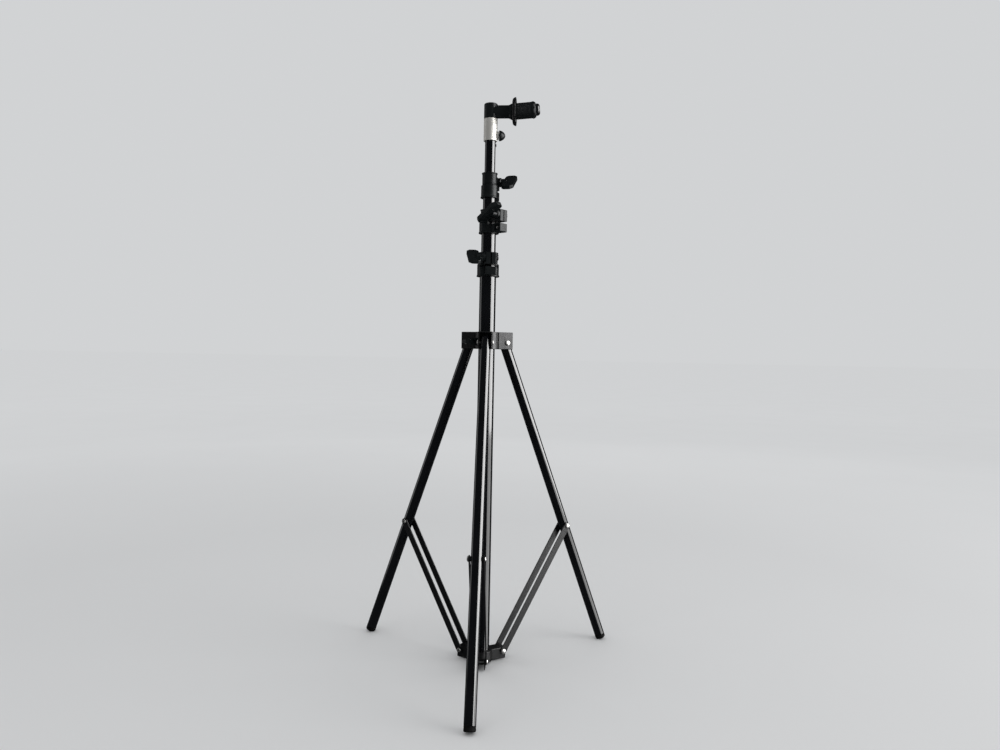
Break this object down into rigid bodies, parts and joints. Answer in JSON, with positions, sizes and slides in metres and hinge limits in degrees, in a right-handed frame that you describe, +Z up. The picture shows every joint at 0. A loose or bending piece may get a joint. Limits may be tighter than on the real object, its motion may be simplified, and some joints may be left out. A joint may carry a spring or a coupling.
{
  "type": "folding light stand with sprung holder head",
  "caption": "Folding light stand: splayed tube legs, flat braces, telescopic column with clamp collars, and a sprung barrel clip on a swivelling sleeve.",
  "frame": {"origin": "on the column's axis at the bottom face of its end cap, level with the floor", "axes": "+Z up the column, -Y towards the front leg, +X to the right when the front leg faces the viewer"},
  "size_m": [0.4046, 0.3526, 0.8626],
  "materials": {
    "tube_paint": "gloss",
    "plate_paint": "satin",
    "charcoal_plastic": "satin",
    "nickel": "polished",
    "sleeve_metal": "satin",
    "rubber_black": "matte"
  },
  "bodies": {
    "base": {"column_base_tube": "tube_paint", "column_end_cap": "rubber_black", "spider_hub": "plate_paint", "spider_rivet_front": "nickel", "spider_rivet_left": "nickel", "spider_rivet_right": "nickel", "collar_lower": "charcoal_plastic", "collar_lower_screw": "nickel"},
    "lower_section": {"column_lower_tube": "tube_paint", "column_lower_bush": "charcoal_plastic", "collar_middle": "charcoal_plastic", "collar_middle_screw": "nickel"},
    "upper_section": {"column_upper_tube": "tube_paint", "column_upper_bush": "charcoal_plastic", "collar_upper": "charcoal_plastic", "collar_upper_screw": "nickel"},
    "top_section": {"column_top_tube": "tube_paint", "column_top_bush": "charcoal_plastic", "column_top_plug": "charcoal_plastic", "column_top_rivet": "nickel"},
    "head": {"head_sleeve": "sleeve_metal", "head_elbow": "charcoal_plastic", "head_claw_plate": "plate_paint", "head_rod": "nickel", "head_button": "charcoal_plastic", "head_spring": "nickel"},
    "barrel": {"head_barrel": "charcoal_plastic"},
    "sleeve_knob": {"sleeve_knob": "charcoal_plastic", "sleeve_screw": "nickel"},
    "knob_lower": {"collar_lower_knob": "charcoal_plastic", "collar_lower_bolt": "nickel"},
    "knob_middle": {"collar_middle_knob": "charcoal_plastic", "collar_middle_bolt": "nickel"},
    "knob_upper": {"collar_upper_knob": "charcoal_plastic", "collar_upper_bolt": "nickel"},
    "crown": {"crown": "plate_paint", "crown_rivet_front": "nickel", "crown_rivet_left": "nickel", "crown_rivet_right": "nickel"},
    "crown_knob": {"crown_lock_knob": "charcoal_plastic", "crown_lock_screw": "nickel"},
    "leg_front": {"leg_tube_front": "tube_paint", "foot_cap_front": "rubber_black", "leg_bush_front": "charcoal_plastic", "brace_rivet_front": "nickel"},
    "brace_front": {"brace_bar_front_a": "plate_paint", "brace_bar_front_b": "plate_paint"},
    "leg_right": {"leg_tube_right": "tube_paint", "foot_cap_right": "rubber_black", "leg_bush_right": "charcoal_plastic", "brace_rivet_right": "nickel"},
    "brace_right": {"brace_bar_right_a": "plate_paint", "brace_bar_right_b": "plate_paint"},
    "leg_left": {"leg_tube_left": "tube_paint", "foot_cap_left": "rubber_black", "leg_bush_left": "charcoal_plastic", "brace_rivet_left": "nickel"},
    "brace_left": {"brace_bar_left_a": "plate_paint", "brace_bar_left_b": "plate_paint"}
  },
  "joints": [
    {"name": "leg_fold", "type": "hinge", "parent": "base", "child": "brace_front", "pos_m": [0, -0.0337, 0.0133], "axis": [-1, 0, 0], "range_deg": [-3, 28.89]},
    {"name": "leg_swing_front", "type": "hinge", "parent": "brace_front", "child": "leg_front", "pos_m": [0, -0.14678, 0.1998], "axis": [1, 0, 0], "range_deg": [-5.05, 48.25]},
    {"name": "brace_swing_right", "type": "hinge", "parent": "base", "child": "brace_right", "pos_m": [0.02918, 0.01685, 0.0133], "axis": [0.5, -0.866, 0], "range_deg": [-3.01, 28.9]},
    {"name": "leg_swing_right", "type": "hinge", "parent": "brace_right", "child": "leg_right", "pos_m": [0.12712, 0.07339, 0.1998], "axis": [-0.5, 0.866, 0], "range_deg": [-5.05, 48.25]},
    {"name": "brace_swing_left", "type": "hinge", "parent": "base", "child": "brace_left", "pos_m": [-0.02918, 0.01685, 0.0133], "axis": [0.5, 0.866, 0], "range_deg": [-3.01, 28.9]},
    {"name": "leg_swing_left", "type": "hinge", "parent": "brace_left", "child": "leg_left", "pos_m": [-0.12712, 0.07339, 0.1998], "axis": [-0.5, -0.866, 0], "range_deg": [-5.05, 48.25]},
    {"name": "crown_swing", "type": "hinge", "parent": "leg_front", "child": "crown", "pos_m": [0, -0.0305, 0.4927], "axis": [-1, 0, 0], "range_deg": [-2.06, 19.36]},
    {"name": "lower_section_slide", "type": "slide", "parent": "base", "child": "lower_section", "axis": [0, 0, 1], "range_m": [-0.022, 0.42]},
    {"name": "upper_section_slide", "type": "slide", "parent": "lower_section", "child": "upper_section", "axis": [0, 0, 1], "range_m": [-0.013, 0.42]},
    {"name": "top_section_slide", "type": "slide", "parent": "upper_section", "child": "top_section", "axis": [0, 0, 1], "range_m": [-0.036, 0.42]},
    {"name": "head_swivel", "type": "hinge", "parent": "top_section", "child": "head", "pos_m": [0, 0, 0.8], "axis": [0, 0, 1], "continuous": true},
    {"name": "barrel_slide", "type": "slide", "parent": "head", "child": "barrel", "axis": [0.9956, -0.0522, 0.0785], "range_m": [0, 0.0085], "stiffness_N_per_m": 400, "springref_m": -0.006, "deforming": ["head_spring"]},
    {"name": "sleeve_knob_turn", "type": "hinge", "parent": "head", "child": "sleeve_knob", "pos_m": [0.01258, 0.00066, 0.806], "axis": [0.9986, 0.0523, 0], "continuous": true},
    {"name": "knob_lower_turn", "type": "hinge", "parent": "base", "child": "knob_lower", "pos_m": [0.00466, -0.02252, 0.62], "axis": [-0.9792, -0.2028, 0], "continuous": true},
    {"name": "knob_middle_turn", "type": "hinge", "parent": "lower_section", "child": "knob_middle", "pos_m": [0.01787, -0.01447, 0.6846], "axis": [-0.6293, -0.7771, 0], "continuous": true},
    {"name": "knob_upper_turn", "type": "hinge", "parent": "upper_section", "child": "knob_upper", "pos_m": [0.00478, 0.0225, 0.74], "axis": [0.9781, -0.2079, 0], "continuous": true},
    {"name": "crown_knob_turn", "type": "hinge", "parent": "crown", "child": "crown_knob", "pos_m": [-0.01568, -0.00905, 0.494], "axis": [-0.866, -0.5, 0], "continuous": true}
  ],
  "couplings": [
    {"joint": "brace_swing_right", "follows": "leg_fold", "ratio": 1},
    {"joint": "brace_swing_left", "follows": "leg_fold", "ratio": 1},
    {"joint": "leg_swing_front", "follows": "leg_fold", "ratio": 1.6684},
    {"joint": "leg_swing_right", "follows": "leg_fold", "ratio": 1.6684},
    {"joint": "leg_swing_left", "follows": "leg_fold", "ratio": 1.6684},
    {"joint": "crown_swing", "follows": "leg_fold", "ratio": 0.6684}
  ]
}
